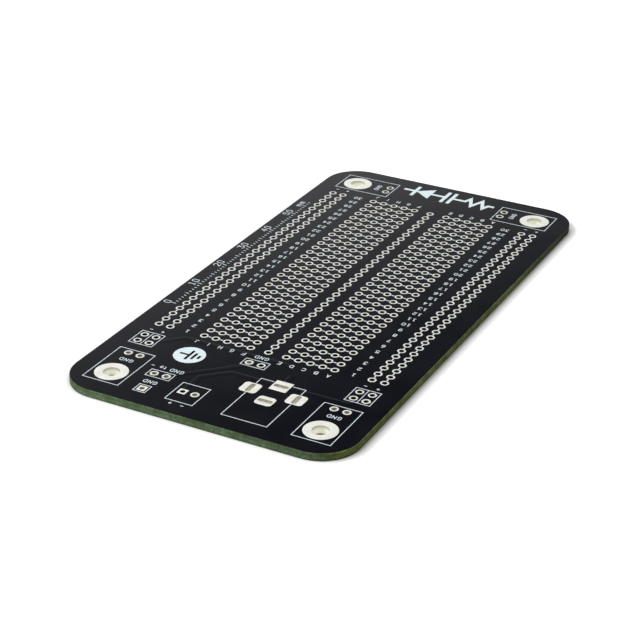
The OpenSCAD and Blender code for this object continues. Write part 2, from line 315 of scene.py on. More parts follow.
# Bands of light and dark plies. They are drawn six plies apart so that they show, and a wave
# repeats after a tenth of pi at scale one.
plies = add_node(
    tree,
    "ShaderNodeTexWave",
    {
        "Vector": place.outputs["Object"],
        "Scale": math.pi / 10 / (band_gap * MM),
        "Distortion": 1.5,
        "Detail": 2.0,
        "Detail Scale": 40.0,
    },
    bands_direction="Z",
)
end_colour = add_node(tree, "ShaderNodeValToRGB", {0: patches.outputs["Fac"]})
end_stops = [(0.36, linear("#48583b")), (0.64, linear("#5b6d56"))]
lay_stops(end_colour.color_ramp.elements, end_stops)
# The ends show cut fibre, dry and grey-green. The long sides and corners are glassier, olive.
facing = add_node(tree, "ShaderNodeNewGeometry")
across = add_node(tree, "ShaderNodeSeparateXYZ", {0: facing.outputs["Normal"]})
squareness = add_node(tree, "ShaderNodeMath", {0: across.outputs[0]}, operation="ABSOLUTE")
dry = add_node(tree, "ShaderNodeMapRange", {0: squareness.outputs[0], 1: 0.6, 2: 0.98})
side_colour = add_node(tree, "ShaderNodeValToRGB", {0: patches.outputs["Fac"]})
side_stops = [(0.36, linear("#3d461c")), (0.64, linear("#565e32"))]
lay_stops(side_colour.color_ramp.elements, side_stops)
# Painted light: their foot is darkened by painted shade, and their upper rim is lightened by a
# painted highlight
level = add_node(tree, "ShaderNodeSeparateXYZ", {0: place.outputs["Object"]})
share_up = add_node(
    tree, "ShaderNodeMath", {0: level.outputs["Z"], 1: board_t * MM}, operation="DIVIDE"
)
foot_shade_rim_highlight = add_node(tree, "ShaderNodeValToRGB", {0: share_up.outputs[0]})
foot_shade_rim_highlight_stops = [(0.0, 0.62), (0.3, 0.75), (0.7, 0.95), (0.84, 1.05), (0.93, 1.7), (1.0, 1.7)]
lay_stops(foot_shade_rim_highlight.color_ramp.elements, foot_shade_rim_highlight_stops)
side_shade = add_node(
    tree,
    "ShaderNodeMix",
    {0: 1.0, 6: side_colour.outputs[0], 7: foot_shade_rim_highlight.outputs[0]},
    data_type="RGBA",
    blend_type="MULTIPLY",
)
# Painted shade: the long sides are darker towards the far end, and the ends towards the front
far_painted_shade = add_node(
    tree,
    "ShaderNodeMapRange",
    {
        0: level.outputs["X"],
        1: far_shade_stretch[0] * MM,
        2: far_shade_stretch[1] * MM,
        3: 1.0,
        4: far_shade_level,
    },
)
side_shade = add_node(
    tree,
    "ShaderNodeMix",
    {0: 1.0, 6: side_shade.outputs[2], 7: far_painted_shade.outputs[0]},
    data_type="RGBA",
    blend_type="MULTIPLY",
)
front_painted_shade = add_node(
    tree,
    "ShaderNodeMapRange",
    {
        0: level.outputs["Y"],
        1: front_shade_stretch[0] * MM,
        2: front_shade_stretch[1] * MM,
        3: front_shade_level,
        4: 1.0,
    },
)
end_shade = add_node(
    tree,
    "ShaderNodeMix",
    {0: 1.0, 6: end_colour.outputs[0], 7: front_painted_shade.outputs[0]},
    data_type="RGBA",
    blend_type="MULTIPLY",
)
cut_colour = add_node(
    tree,
    "ShaderNodeMix",
    {0: dry.outputs[0], 6: side_shade.outputs[2], 7: end_shade.outputs[2]},
    data_type="RGBA",
)
# The pressed faces show only as hairlines round the lands, and they are dark
flat = add_node(tree, "ShaderNodeMath", {0: across.outputs[2]}, operation="ABSOLUTE")
pressed = add_node(tree, "ShaderNodeMapRange", {0: flat.outputs[0], 1: 0.7, 2: 0.95})
cut_colour = add_node(
    tree,
    "ShaderNodeMix",
    {0: pressed.outputs[0], 6: cut_colour.outputs[2], 7: linear("#20251a")},
    data_type="RGBA",
)
fibre_colour = add_node(tree, "ShaderNodeValToRGB", {0: fibres.outputs["Fac"]})
lay_stops(fibre_colour.color_ramp.elements, [(0.4, 0.62), (0.68, (1.35, 1.38, 1.3, 1))])
speckled = add_node(
    tree,
    "ShaderNodeMix",
    {0: 1.0, 6: cut_colour.outputs[2], 7: fibre_colour.outputs[0]},
    data_type="RGBA",
    blend_type="MULTIPLY",
)
ply_shade = add_node(tree, "ShaderNodeMapRange", {0: plies.outputs["Fac"], 3: 0.82, 4: 1.12})
banded = add_node(
    tree,
    "ShaderNodeMix",
    {0: 1.0, 6: speckled.outputs[2], 7: ply_shade.outputs[0]},
    data_type="RGBA",
    blend_type="MULTIPLY",
)
torn = add_node(
    tree,
    "ShaderNodeBump",
    {"Height": fibres.outputs["Fac"], "Strength": 0.5, "Distance": 0.05 * MM},
)
surface = add_node(
    tree,
    "ShaderNodeBsdfPrincipled",
    {
        "Base Color": banded.outputs[2],
        "Roughness": 0.62,
        "IOR": 1.52,
        "Specular IOR Level": 0.06,
        "Normal": torn.outputs[0],
    },
)
add_node(tree, "ShaderNodeOutputMaterial", {"Surface": surface.outputs[0]})


def dress(names, material):
    """CAD nodes get a finish, and keep their shape."""
    for name in names:
        node = nodes[name]
        if not node.material_slots:
            node.data.materials.append(material)
        for held in node.material_slots:
            held.material = material


dress(["substrate"], glass_epoxy)


def rounded_outline(half_l, half_w, radius, step):
    """Points and outward directions round a rectangle with round corners, in millimetres."""
    points = []
    corners = [(1, -1, -90), (1, 1, 0), (-1, 1, 90), (-1, -1, 180)]
    arc_steps = max(2, round(radius * math.pi / 2 / step))
    for k, (sx, sy, start) in enumerate(corners):
        centre = Vector((sx * (half_l - radius), sy * (half_w - radius)))
        for i in range(arc_steps + 1):
            angle = math.radians(start + 90 * i / arc_steps)
            out = Vector((math.cos(angle), math.sin(angle)))
            points.append((centre + radius * out, out))
        nx, ny, _ = corners[(k + 1) % 4]
        after = Vector((nx * (half_l - radius), ny * (half_w - radius))) + radius * out
        here = points[-1][0]
        flats = round((after - here).length / step)
        points += [(here.lerp(after, i / flats), out) for i in range(1, flats)]
    return points


def join_rings(mesh, rings):
    """Faces from each closed ring of points to the next, and from the last to the first."""
    for a, b in zip(rings, rings[1:] + rings[:1]):
        for k in range(len(a)):
            m = (k + 1) % len(a)
            mesh.faces.new((a[k], a[m], b[m], b[k]))


def finished_mesh(name, build, finish):
    """The mesh of a finished build, in its finish."""
    mesh = bpy.data.meshes.new(name)
    build.to_mesh(mesh)
    build.free()
    mesh.materials.append(finish)
    return mesh


# The cut edge is a thin ring round the laminate, with a rounded burr above and below. Its
# profile gives reach past the outline and height, and the fibres tear where it reaches out most.
cut_reach = 0.05
tear = 0.012
edge_profile = [(-0.05, 1.586), (0.01, 1.58), (0.04, 1.54)]
edge_profile += [(cut_reach, 1.54 - k * ply_t / 2) for k in range(1, 16)]
edge_profile += [(0.04, 0.06), (0.01, 0.02), (-0.05, 0.014), (-0.3, 0.2), (-0.3, 1.4)]
edge_step = 0.45
random.seed(7)
edge = bmesh.new()
rings = []
for point, out in rounded_outline(board_l / 2, board_w / 2, corner_r, edge_step):
    ring = []
    for reach, z in edge_profile:
        torn_by = random.uniform(-tear, tear) if reach == cut_reach else 0
        spot = point + out * (reach + torn_by)
        ring.append(edge.verts.new((spot.x * MM, spot.y * MM, z * MM)))
    rings.append(ring)
join_rings(edge, rings)
bmesh.ops.recalc_face_normals(edge, faces=edge.faces)
edge_mesh = finished_mesh("routed_edge", edge, glass_epoxy)
edge_mesh.shade_smooth()
routed_edge = new_piece("routed_edge", edge_mesh)
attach(routed_edge, "root")

# The solder mask: a black epoxy coat about 25 microns thick, flowed over both faces and
# cured to a satin gloss, so it mirrors light softly and rises slightly over each copper run.
cloud_size = 9.09
peel_size = 0.5882
black_mask, tree = new_material("cured_black_solder_mask")
place = add_node(tree, "ShaderNodeTexCoord")
# Thin and thick places in the coat, about a centimetre across
clouds = add_node(
    tree,
    "ShaderNodeTexNoise",
    {
        "Vector": place.outputs["Object"],
        "Scale": 1 / (cloud_size * MM),
        "Detail": 4.0,
        "Roughness": 0.55,
    },
)
# Orange peel, 0.6 mm across
peel = add_node(
    tree,
    "ShaderNodeTexNoise",
    {
        "Vector": place.outputs["Object"],
        "Scale": 1 / (peel_size * MM),
        "Detail": 3.0,
        "Roughness": 0.5,
    },
)
coat_colour = add_node(tree, "ShaderNodeValToRGB", {0: clouds.outputs["Fac"]})
coat_stops = [(0.35, linear("#070910")), (0.68, linear("#0c0d15"))]
lay_stops(coat_colour.color_ramp.elements, coat_stops)
coat_gloss = add_node(tree, "ShaderNodeMapRange", {0: clouds.outputs["Fac"], 3: 0.14, 4: 0.22})
ripple = add_node(
    tree,
    "ShaderNodeBump",
    {"Height": peel.outputs["Fac"], "Strength": 0.18, "Distance": 0.02 * MM},
)
surface = add_node(
    tree,
    "ShaderNodeBsdfPrincipled",
    {
        "Base Color": coat_colour.outputs[0],
        "Roughness": coat_gloss.outputs[0],
        "IOR": 1.5,
        "Specular IOR Level": 0.09,
        "Normal": ripple.outputs[0],
    },
)
add_node(tree, "ShaderNodeOutputMaterial", {"Surface": surface.outputs[0]})
dress(["mask_top", "mask_bottom"], black_mask)

pitch = 2.54
opening_r = 0.92
jack_opening = 1.8
ridge_h = 0.018
ridge_flank = 0.2
ridge_sink = 0.005
ridge_bend_r = 0.8
feed_w = 0.92
tie_w = 0.6


def new_growth(name, sizes):
    """A Geometry Nodes tree with a mesh input and named sizes, and its group input."""
    tree = bpy.data.node_groups.new(name, "GeometryNodeTree")
    tree.interface.new_socket("Geometry", in_out="INPUT", socket_type="NodeSocketGeometry")
    tree.interface.new_socket("Geometry", in_out="OUTPUT", socket_type="NodeSocketGeometry")
    for label, kind in sizes.items():
        tree.interface.new_socket(label, in_out="INPUT", socket_type=kind)
    return tree, tree.nodes.new("NodeGroupInput")


def end_growth(tree, shape, material, rounded=True):
    """The tree's last nodes: real geometry with its finish."""
    real = add_node(tree, "GeometryNodeRealizeInstances", {"Geometry": shape})
    smooth = add_node(
        tree,
        "GeometryNodeSetShadeSmooth",
        {"Geometry": real.outputs[0], "Shade Smooth": rounded},
    )
    finish = add_node(
        tree, "GeometryNodeSetMaterial", {"Geometry": smooth.outputs[0], "Material": material}
    )
    add_node(tree, "NodeGroupOutput", {0: finish.outputs[0]})


def grow(name, points, edges, tree, sizes):
    """The plain mesh that a tree makes from points and edges, all in millimetres."""
    seed_mesh = bpy.data.meshes.new(name + "_seed")
    seed_mesh.from_pydata([Vector(p) * MM for p in points], edges, [])
    seed = bpy.data.objects.new(name + "_seed", seed_mesh)
    scene.collection.objects.link(seed)
    modifier = seed.modifiers.new("growth", "NODES")
    modifier.node_group = tree
    sockets = {item.name: item.identifier for item in tree.interface.items_tree
               if item.in_out == "INPUT"}
    for label, size in sizes.items():
        modifier[sockets[label]] = size
    evaluated = seed.evaluated_get(bpy.context.evaluated_depsgraph_get())
    mesh = bpy.data.meshes.new_from_object(evaluated)
    bpy.data.objects.remove(seed)
    return mesh


# The rise of the coat over a copper run: a low flat-topped bank along the run's path
ridge_growth, given = new_growth(
    "coat_over_run",
    {
        "Run width": "NodeSocketFloat",
        "Rise": "NodeSocketFloat",
        "Flank": "NodeSocketFloat",
        "Bend radius": "NodeSocketFloat",
    },
)
path = add_node(ridge_growth, "GeometryNodeMeshToCurve", {"Mesh": given.outputs["Geometry"]})
bent = add_node(
    ridge_growth,
    "GeometryNodeFilletCurve",
    {
        "Curve": path.outputs[0],
        "Count": 6,
        "Radius": given.outputs["Bend radius"],
        "Limit Radius": True,
    },
    mode="POLY",
)
upright = add_node(
    ridge_growth, "GeometryNodeSetCurveNormal", {"Curve": bent.outputs[0]}, mode="Z_UP"
)
foot = add_node(
    ridge_growth,
    "ShaderNodeMath",
    {0: given.outputs["Flank"], 1: 2.0, 2: given.outputs["Run width"]},
    operation="MULTIPLY_ADD",
)
# On a level path the profile's bottom side comes out on top
bank = add_node(
    ridge_growth,
    "GeometryNodeCurvePrimitiveQuadrilateral",
    {
        "Bottom Width": given.outputs["Run width"],
        "Top Width": foot.outputs[0],
        "Height": given.outputs["Rise"],
        "Offset": 0.0,
    },
    mode="TRAPEZOID",
)
swept = add_node(
    ridge_growth,
    "GeometryNodeCurveToMesh",
    {"Curve": upright.outputs[0], "Profile Curve": bank.outputs[0], "Fill Caps": True},
)
end_growth(ridge_growth, swept.outputs[0], black_mask, rounded=False)


def coat_ridges(name, paths, run_w, face_z):
    """Banks along paths, sunk slightly into the face."""
    points, edges = [], []
    for line in paths:
        first = len(points)
        points += [(x, y, face_z + (ridge_h - ridge_sink) / 2) for x, y in line]
        edges += [(first + k, first + k + 1) for k in range(len(line) - 1)]
    sizes = {
        "Run width": run_w * MM,
        "Rise": (ridge_h + ridge_sink) * MM,
        "Flank": ridge_flank * MM,
        "Bend radius": ridge_bend_r * MM,
    }
    return grow(name, points, edges, ridge_growth, sizes)


# Places of the holes. The footprints at the left keep their place beside the mounting holes.
mount_inset = 7.62
mount_x, mount_y = board_l / 2 - mount_inset, board_w / 2 - mount_inset
first_column_x, columns = -30.48, 30
inner_row_y, strip_holes = 3.81, 5
column_x = [first_column_x + k * pitch for k in range(columns)]
strip_y = [inner_row_y + k * pitch for k in range(strip_holes)]
rail_y = [mount_y, mount_y + pitch]
left_label_x = column_x[0] - pitch
jumper_x = (column_x[0] - 3 * pitch, column_x[0] - 2 * pitch)
terminal = (-mount_x, 6.35)
jack_x, jack_y = -mount_x + 10.16, -8.28
link_x, link_y = -mount_x + 3.22, 13.12
link_low_y = link_y - pitch / 2

# Supply runs on the top face, from opening to opening. Slanted stretches are at 45 degrees.
slant = opening_r / math.sqrt(2)
run_bend_y = 2.28
run_slant = 3.06
feed_paths = [
    [
        (terminal[0] + opening_r, terminal[1]),
        (jack_x - (terminal[1] - run_bend_y), terminal[1]),
        (jack_x, run_bend_y),
        (jack_x, jack_y + jack_opening),
    ],
    [
        (jack_x, jack_y - jack_opening),
        (jack_x, jumper_x[0] - jack_x - rail_y[1]),
        (jumper_x[0] - slant, -rail_y[1] + slant),
    ],
    [
        (jack_x + jack_opening, jack_y),
        (left_label_x - run_slant, jack_y),
        (left_label_x, jack_y + run_slant),
        (left_label_x, rail_y[0] - (left_label_x - jumper_x[0])),
        (jumper_x[0] + slant, rail_y[0] - slant),
    ],
    [
        (link_x + slant, link_low_y - slant),
        (link_x + link_low_y - pitch / 2, pitch / 2),
        (jumper_x[1] - opening_r, pitch / 2),
    ],
]
feed_ridges = new_piece("feed_ridges", coat_ridges("feed_ridges", feed_paths, feed_w, board_t))
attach(feed_ridges, "root")

# Ties on the underside, drawn face up and then turned over
tie_paths = []
for x in column_x:
    for low in strip_y[:-1]:
        for s in (-1, 1):
            tie_paths.append([(x, s * (low + opening_r)), (x, s * (low + pitch - opening_r))])
for y in (-rail_y[1], -rail_y[0], 0, rail_y[0], rail_y[1]):
    for x in column_x[:-1]:
        tie_paths.append([(x + opening_r, y), (x + pitch - opening_r, y)])
for y in (-rail_y[1], -rail_y[0], rail_y[0], rail_y[1]):
    tie_paths.append([(jumper_x[1] + opening_r, y), (column_x[0] - opening_r, y)])
tie_paths.append([
    (jumper_x[1] + slant, pitch / 2 - slant),
    (jumper_x[1] + pitch / 2, 0),
    (column_x[0] - opening_r, 0),
])
tie_mesh = coat_ridges("tie_ridges", tie_paths, tie_w, 0)
turned_over = Matrix.Rotation(math.pi, 4, "X")
tie_mesh.transform(turned_over)
tie_ridges = new_piece("tie_ridges", tie_mesh)
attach(tie_ridges, "root")

# The lands: copper rings round every plated hole, dipped in solder and levelled with hot
# air. The solder sets as a low bright bead, dull silver with a warm cast and fine mottling.
ripple_size = 1.0
grain_size = 0.2
# A wall has its painted deep light up to the first height, and its painted rim light from the second
wall_heights = (0.8, 1.5)
slot_reach = 2.5
painted_reflection_warmth = 1.3


def wall_light(share):
    """A share of painted light on the walls of a hole, warmed as a painted reflection of solder."""
    return (share, share, share**painted_reflection_warmth, 1.0)


slot_painted_rim, slot_painted_deep = wall_light(0.48), wall_light(1.0)


def solder_finish(name, dull, bright, rim, deep, slot_at=None, slope=(0.3, 0.7)):
    """Levelled solder between a dull and a bright colour, with painted light and shade on the walls
    of a hole.

    Walls have the painted light deep, and rim near the top face, or a slot's two painted lights
    within reach of slot_at. A face is wall where the upward part of its normal is under the first
    value of slope, and level over the second.
    """
    material, tree = new_material(name)
    place = add_node(tree, "ShaderNodeTexCoord")
    # Frozen ripples, one millimetre across, and grain that is drawn at 0.2 mm so that it shows
    ripples = add_node(
        tree,
        "ShaderNodeTexNoise",
        {
            "Vector": place.outputs["Object"],
            "Scale": 1 / (ripple_size * MM),
            "Detail": 3.0,
            "Roughness": 0.55,
        },
    )
    grain = add_node(
        tree,
        "ShaderNodeTexNoise",
        {
            "Vector": place.outputs["Object"],
            "Scale": 1 / (grain_size * MM),
            "Detail": 1.0,
            "Roughness": 0.5,
        },
    )
    colour = add_node(tree, "ShaderNodeValToRGB", {0: ripples.outputs["Fac"]})
    lay_stops(colour.color_ramp.elements, [(0.3, linear(dull)), (0.7, linear(bright))])
    height = add_node(tree, "ShaderNodeSeparateXYZ", {0: place.outputs["Object"]})
    rise = add_node(
        tree,
        "ShaderNodeMapRange",
        {0: height.outputs["Z"], 1: wall_heights[0] * MM, 2: wall_heights[1] * MM},
    )
    wall = add_node(tree, "ShaderNodeMix", {0: rise.outputs[0], 6: deep, 7: rim}, data_type="RGBA")
    if slot_at:
        slot_wall = add_node(
            tree,
            "ShaderNodeMix",
            {0: rise.outputs[0], 6: slot_painted_deep, 7: slot_painted_rim},
            data_type="RGBA",
        )
        away = add_node(
            tree,
            "ShaderNodeVectorMath",
            {
                0: place.outputs["Object"],
                1: (slot_at[0] * MM, slot_at[1] * MM, board_t / 2 * MM),
            },
            operation="DISTANCE",
        )
        near = add_node(
            tree,
            "ShaderNodeMath",
            {0: away.outputs["Value"], 1: slot_reach * MM},
            operation="LESS_THAN",
        )
        wall = add_node(
            tree,
            "ShaderNodeMix",
            {0: near.outputs[0], 6: wall.outputs[2], 7: slot_wall.outputs[2]},
            data_type="RGBA",
        )
    bearing = add_node(tree, "ShaderNodeNewGeometry")
    facing = add_node(tree, "ShaderNodeSeparateXYZ", {0: bearing.outputs["True Normal"]})
    flat = add_node(tree, "ShaderNodeMath", {0: facing.outputs["Z"]}, operation="ABSOLUTE")
    level_part = add_node(
        tree, "ShaderNodeMapRange", {0: flat.outputs[0], 1: slope[0], 2: slope[1]}
    )
    light = add_node(
        tree,
        "ShaderNodeMix",
        {0: level_part.outputs[0], 6: wall.outputs[2], 7: wall_light(1.0)},
        data_type="RGBA",
    )
    shaded = add_node(
        tree,
        "ShaderNodeMix",
        {0: 1.0, 6: colour.outputs[0], 7: light.outputs[2]},
        data_type="RGBA",
        blend_type="MULTIPLY",
    )
    gloss = add_node(tree, "ShaderNodeMapRange", {0: grain.outputs["Fac"], 3: 0.34, 4: 0.52})
    frozen = add_node(
        tree,
        "ShaderNodeBump",
        {"Height": ripples.outputs["Fac"], "Strength": 0.35, "Distance": 0.05 * MM},
    )
    surface = add_node(
        tree,
        "ShaderNodeBsdfPrincipled",
        {
            "Base Color": shaded.outputs[2],
            "Metallic": 0.25,
            "Roughness": gloss.outputs[0],
            "Normal": frozen.outputs[0],
        },
    )
    add_node(tree, "ShaderNodeOutputMaterial", {"Surface": surface.outputs[0]})
    return material


# Painted light and shade on the walls: wide holes are painted light down to the table, and narrow
# holes painted dark inside
wide_painted_rim = (0.5, 0.51, 0.46, 1)
wide_painted_deep = (1.14, 1.13, 1.07, 1)
pale_painted_rim, pale_painted_deep = wall_light(0.45), wall_light(0.65)
narrow_painted_shade = wall_light(0.02)
# Lit and shaded copies of one solder: their colours differ as painted light, darkest for narrow holes
wide_solder = solder_finish("hot_air_levelled_solder", "#e2e2d9", "#f2f2ea", wide_painted_rim, wide_painted_deep)
slot_solder = solder_finish("levelled_solder_slot", "#e6e6dc", "#f6f6ee", slot_painted_rim, slot_painted_deep)
pale_hole_solder = solder_finish(
    "levelled_solder_pale_hole", "#dadad3", "#e8e8e2", pale_painted_rim, pale_painted_deep
)
narrow_solder = solder_finish(
    "levelled_solder_narrow_hole", "#a8a8a1", "#b6b6b0", narrow_painted_shade, narrow_painted_shade
)
feed_solder = solder_finish(
    "levelled_solder_feed", "#e4e4db", "#f4f4ec", narrow_painted_shade, narrow_painted_shade, (jack_x, jack_y)
)
# The flanks of a bead mirror the mask and the hole, so painted shade darkens them as it does walls
flank_light = wall_light(0.4)
bead_solder = solder_finish(
    "levelled_solder_bead", "#ebebe8", "#f8f8f6", flank_light, flank_light, slope=(0.95, 0.99)
)
# The first start that fits the name of a node gives its finish
finish_starts = [
    ("mount", wide_solder),
    ("jack", slot_solder),
    ("ground_pads_right", narrow_solder),
    ("ground", pale_hole_solder),
    ("terminal", pale_hole_solder),
    ("link", pale_hole_solder),
    ("positive", feed_solder),
    ("", narrow_solder),
]
bare_coats = {"substrate", "mask_top", "mask_bottom", "legend_print"}
for name in nodes:
    if name not in bare_coats:
        dress([name], next(finish for start, finish in finish_starts if name.startswith(start)))

hole_r = 0.5
land_r = 0.85
bead_h = 0.015
bead_sink = 0.01
crown_share = 0.6
bead_segments = 16
bead_growth, given = new_growth(
    "solder_bead",
    {
        "Hole radius": "NodeSocketFloat",
        "Land radius": "NodeSocketFloat",
        "Height": "NodeSocketFloat",
        "Crown share": "NodeSocketFloat",
        "Segments": "NodeSocketInt",
    },
)
bead_w = add_node(
    bead_growth,
    "ShaderNodeMath",
    {0: given.outputs["Land radius"], 1: given.outputs["Hole radius"]},
    operation="SUBTRACT",
)
crown_w = add_node(
    bead_growth,
    "ShaderNodeMath",
    {0: bead_w.outputs[0], 1: given.outputs["Crown share"]},
    operation="MULTIPLY",
)
double_r = add_node(
    bead_growth,
    "ShaderNodeMath",
    {0: given.outputs["Land radius"], 1: given.outputs["Hole radius"]},
    operation="ADD",
)
middle_r = add_node(
    bead_growth, "ShaderNodeMath", {0: double_r.outputs[0], 1: 0.5}, operation="MULTIPLY"
)
rim = add_node(
    bead_growth,
    "GeometryNodeCurvePrimitiveCircle",
    {"Resolution": given.outputs["Segments"], "Radius": middle_r.outputs[0]},
)
crown = add_node(
    bead_growth,
    "GeometryNodeCurvePrimitiveQuadrilateral",
    {
        "Bottom Width": crown_w.outputs[0],
        "Top Width": bead_w.outputs[0],
        "Height": given.outputs["Height"],
        "Offset": 0.0,
    },
    mode="TRAPEZOID",
)
rim_up = add_node(
    bead_growth, "GeometryNodeSetCurveNormal", {"Curve": rim.outputs[0]}, mode="Z_UP"
)
bead = add_node(
    bead_growth,
    "GeometryNodeCurveToMesh",
    {"Curve": rim_up.outputs[0], "Profile Curve": crown.outputs[0], "Fill Caps": False},
)
spread = add_node(
    bead_growth,
    "GeometryNodeInstanceOnPoints",
    {"Points": given.outputs["Geometry"], "Instance": bead.outputs[0]},
)
end_growth(bead_growth, spread.outputs[0], bead_solder)

round_holes = [(x, s * y) for x in column_x for y in strip_y for s in (-1, 1)]
round_holes += [(x, s * y) for x in column_x for y in rail_y for s in (-1, 1)]
round_holes += [(x, 0) for x in column_x]
round_holes += [(x, s * y) for x in jumper_x for y in rail_y for s in (-1, 1)]
ground_offset = 7.62
for s in (-1, 1):
    round_holes += [
        (jumper_x[1], s * pitch / 2),
        (link_x, link_y + s * pitch / 2),
        (-mount_x + ground_offset, s * mount_y - pitch / 2),
        (-mount_x + ground_offset, s * mount_y + pitch / 2),
        (mount_x - pitch / 2, s * (mount_y - ground_offset)),
        (mount_x + pitch / 2, s * (mount_y - ground_offset)),
    ]
round_holes.append((terminal[0], terminal[1] - pitch))


def solder_beads(name, places, face_z):
    """Round beads at the places of wire holes, sunk slightly into their lands."""
    sizes = {
        "Hole radius": hole_r * MM,
        "Land radius": land_r * MM,
        "Height": (bead_h + bead_sink) * MM,
        "Crown share": crown_share,
        "Segments": bead_segments,
    }
    points = [(x, y, face_z + (bead_h - bead_sink) / 2) for x, y in places]
    return grow(name, points, [], bead_growth, sizes)


def box_reach(half_l, half_w, radius, angle):
    """How far a rounded box reaches from its middle in one direction, found by halving."""
    halvings = 40
    ux, uy = abs(math.cos(angle)), abs(math.sin(angle))
    low, high = 0.0, half_l + half_w
    for _ in range(halvings):
        middle = (low + high) / 2
        dx, dy = middle * ux - half_l + radius, middle * uy - half_w + radius
        inside = math.hypot(max(dx, 0), max(dy, 0)) + min(max(dx, dy), 0) < radius
        low, high = (middle, high) if inside else (low, middle)
    return low


def shaped_bead(mesh, place, hole, land, face_z):
    """A bead between a rounded hole and land, each as half length, half width and radius."""
    steps = 64
    # Share of the way from the hole to the outline, and height over the face
    cross_section = [
        (0.0, -bead_sink), (0.02, bead_h * 0.6), (0.08, bead_h), (0.5, bead_h), (0.92, bead_h),
        (0.98, bead_h * 0.6), (1.0, -bead_sink),
    ]
    loops = []
    for i in range(steps):
        angle = 2 * math.pi * (i + 0.5) / steps
        near = box_reach(*hole, angle)
        far = box_reach(*land, angle)
        loops.append([
            mesh.verts.new((
                (place[0] + math.cos(angle) * (near + share * (far - near))) * MM,
                (place[1] + math.sin(angle) * (near + share * (far - near))) * MM,
                (face_z + rise) * MM,
            ))
            for share, rise in cross_section
        ])
    join_rings(mesh, loops)


slot_long, slot_short = 1.5, 0.5
jack_land = 1.75
jack_sleeve_land = 1.5
jack_land_r = 0.75
square_land_r = 0.08
pin_land_r = 0.1
pin_to_sleeve, pin_to_tab, tab_offset = 6.0, 3.0, 4.7
mount_r, mount_land_r = 1.6, 3.2
wire_hole = (hole_r, hole_r, hole_r)
square_land = (land_r, land_r, square_land_r)
slot_across = (slot_short, slot_long, slot_short)
slot_along = (slot_long, slot_short, slot_short)
tab_land = (jack_land, jack_land, jack_land_r)
test_pad = (-mount_x - pitch, 13.335)
jack_sleeve = (jack_x - pin_to_sleeve, jack_y)
tab_x = jack_x - pin_to_tab
special_lands = [
    (terminal, wire_hole, square_land),
    (test_pad, wire_hole, square_land),
    ((jack_x, jack_y), slot_across, (jack_land, jack_land, pin_land_r)),
    (jack_sleeve, slot_across, (jack_sleeve_land, jack_land, jack_land_r)),
]
special_lands += [((tab_x, jack_y + s * tab_offset), slot_along, tab_land) for s in (-1, 1)]
special_lands += [
    ((sx * mount_x, sy * mount_y), (mount_r,) * 3, (mount_land_r,) * 3)
    for sx in (-1, 1)
    for sy in (-1, 1)
]
for face, face_z in (("top", board_t), ("bottom", 0)):
    flip = 1 if face == "top" else -1
    places = [(x, flip * y) for x, y in round_holes]
    round_mesh = solder_beads(f"round_beads_{face}", places, face_z)
    wide = bmesh.new()
    for (x, y), hole, land in special_lands:
        shaped_bead(wide, (x, flip * y), hole, land, face_z)
    bmesh.ops.recalc_face_normals(wide, faces=wide.faces)
    wide_mesh = finished_mesh(f"wide_beads_{face}", wide, wide_solder)
    wide_mesh.shade_smooth()
    for name, mesh in ((f"round_beads_{face}", round_mesh), (f"wide_beads_{face}", wide_mesh)):
        if face == "bottom":
            mesh.transform(turned_over)
        beads = new_piece(name, mesh)
        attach(beads, "root")

# The print: white epoxy ink, screened on top of the mask and baked. It looks slightly blue
# against the warm solder. The CAD has its outlines, marks and signs, and the letters, the
# numbers and the rule are added here in thin pen strokes.
spot_size = 0.303
white_ink, tree = new_material("screened_white_ink")
place = add_node(tree, "ShaderNodeTexCoord")
# The screen's thin spots, drawn at 0.3 mm so that they show
thin_spots = add_node(
    tree,
    "ShaderNodeTexNoise",
    {
        "Vector": place.outputs["Object"],
        "Scale": 1 / (spot_size * MM),
        "Detail": 2.0,
        "Roughness": 0.6,
    },
)
ink_colour = add_node(tree, "ShaderNodeValToRGB", {0: thin_spots.outputs["Fac"]})
ink_stops = [(0.3, linear("#c6d3d8")), (0.6, linear("#d6e4e8"))]
lay_stops(ink_colour.color_ramp.elements, ink_stops)
screened = add_node(
    tree,
    "ShaderNodeBump",
    {"Height": thin_spots.outputs["Fac"], "Strength": 0.2, "Distance": 0.01 * MM},
)
surface = add_node(
    tree,
    "ShaderNodeBsdfPrincipled",
    {
        "Base Color": ink_colour.outputs[0],
        "Roughness": 0.55,
        "IOR": 1.5,
        "Normal": screened.outputs[0],
    },
)
add_node(tree, "ShaderNodeOutputMaterial", {"Surface": surface.outputs[0]})
dress(["legend_print"], white_ink)

ink_t = 0.02
ink_top, ink_foot = board_t + ink_t, board_t - ink_t / 2
pen_w = 0.15
sign_gap = 2.6
